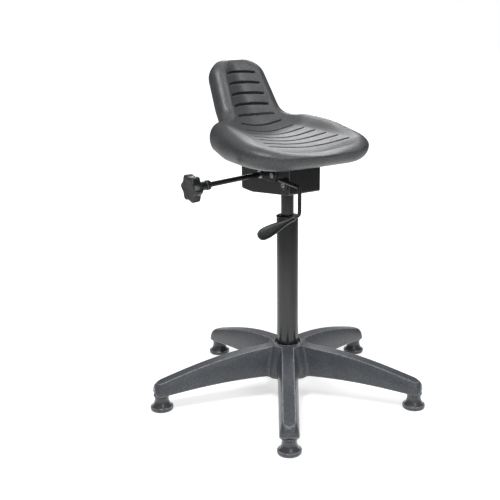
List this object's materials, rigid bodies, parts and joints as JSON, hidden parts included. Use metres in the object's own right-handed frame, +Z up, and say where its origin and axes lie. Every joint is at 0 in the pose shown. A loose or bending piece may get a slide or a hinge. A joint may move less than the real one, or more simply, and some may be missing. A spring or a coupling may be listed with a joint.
{
  "type": "perch stool",
  "caption": "Perch stool: one-piece moulded seat with low back and channels, tilting on a gas-lift column with lever and clamp knob, over a star base on round glides.",
  "frame": {"origin": "on the floor, under the middle of the base outline; the column axis is 28.1 mm nearer the front", "axes": "+Z up, the seat faces -Y, +X is the left of someone seated; lever and knob are on the -X side"},
  "size_m": [0.6092, 0.5818, 0.7404],
  "materials": {
    "seat_foam": "self-skinned foam, dark grey, fine leather-like grain, slight sheen",
    "base_nylon": "moulded glass-filled nylon, fine texture",
    "glide_plastic": "smooth moulded plastic",
    "black_plastic": "moulded, fine texture",
    "column_paint": "satin black powder coat on steel tube",
    "black_steel": "semi-gloss black powder coat on pressed steel",
    "plain_steel": "zinc-plated steel",
    "black_rubber": "matt rubber",
    "board_wood": "raw plywood, set in the foam"
  },
  "bodies": {
    "base": {"five_star_base": "base_nylon", "hub_sleeve": "black_steel", "outer_column_tube": "column_paint", "guide_bush": "black_plastic", "bearing_washer_lower": "plain_steel", "glide_1": "glide_plastic", "glide_2": "glide_plastic", "glide_3": "glide_plastic", "glide_4": "glide_plastic", "glide_5": "glide_plastic", "glide_stem_1": "plain_steel", "glide_stem_2": "plain_steel", "glide_stem_3": "plain_steel", "glide_stem_4": "plain_steel", "glide_stem_5": "plain_steel"},
    "spindle": {"piston_rod": "plain_steel", "piston": "black_plastic", "bump_stop": "black_rubber", "bearing_washer_upper": "plain_steel", "thrust_ball_cage": "plain_steel", "retaining_clip": "plain_steel"},
    "lift": {"pressure_cylinder": "column_paint", "cylinder_guide_seal": "black_rubber", "taper_socket": "black_steel", "socket_cross_plate": "black_steel", "mechanism_housing": "black_steel", "tilt_bush_near": "black_plastic", "tilt_bush_far": "black_plastic"},
    "valve": {"release_pin": "plain_steel"},
    "lever": {"lever_shaft": "plain_steel", "lever_shaft_clip": "plain_steel", "lever_plate": "black_steel", "lever_rod": "black_steel", "lever_paddle": "black_plastic", "lever_tongue": "black_steel"},
    "seat": {"seat_shell": "seat_foam", "seat_board": "board_wood", "back_strip": "plain_steel", "seat_plate": "black_steel", "seat_bolt_1": "plain_steel", "seat_bolt_2": "plain_steel", "seat_bolt_3": "plain_steel", "seat_bolt_4": "plain_steel", "tilt_bolt_near": "plain_steel", "tilt_bolt_far": "plain_steel", "tilt_nut_near": "plain_steel", "tilt_nut_far": "plain_steel", "clamp_spacer_tube": "black_steel", "clamp_washer_near": "plain_steel", "clamp_washer_far": "plain_steel", "clamp_nut": "plain_steel"},
    "knob": {"clamp_knob": "black_plastic", "knob_collar": "black_plastic", "clamp_screw": "plain_steel"}
  },
  "joints": [
    {"name": "seat_swivel", "type": "hinge", "parent": "base", "child": "spindle", "pos_m": [0, -0.02807, 0], "axis": [0, 0, 1], "continuous": true},
    {"name": "height_slide", "type": "slide", "parent": "spindle", "child": "lift", "axis": [0, 0, 1], "range_m": [0, 0.2667]},
    {"name": "seat_tilt", "type": "hinge", "parent": "lift", "child": "seat", "pos_m": [0, -0.03707, 0.513], "axis": [1, 0, 0], "range_deg": [-5.7, 4.3]},
    {"name": "lever_press", "type": "hinge", "parent": "lift", "child": "lever", "pos_m": [0, -0.07157, 0.4967], "axis": [-1, 0, 0], "range_deg": [0, 4], "stiffness_Nm_per_rad": 4, "springref_deg": -5.73},
    {"name": "pin_press", "type": "slide", "parent": "lift", "child": "valve", "axis": [0, 0, -1], "range_m": [0, 0.0032]},
    {"name": "knob_turn", "type": "hinge", "parent": "seat", "child": "knob", "pos_m": [0, 0.00992, 0.51086], "axis": [-0.9983, 0, -0.0576], "range_deg": [0, 360]}
  ],
  "couplings": [
    {"joint": "pin_press", "follows": "lever_press", "m_per_rad": 0.0435}
  ]
}
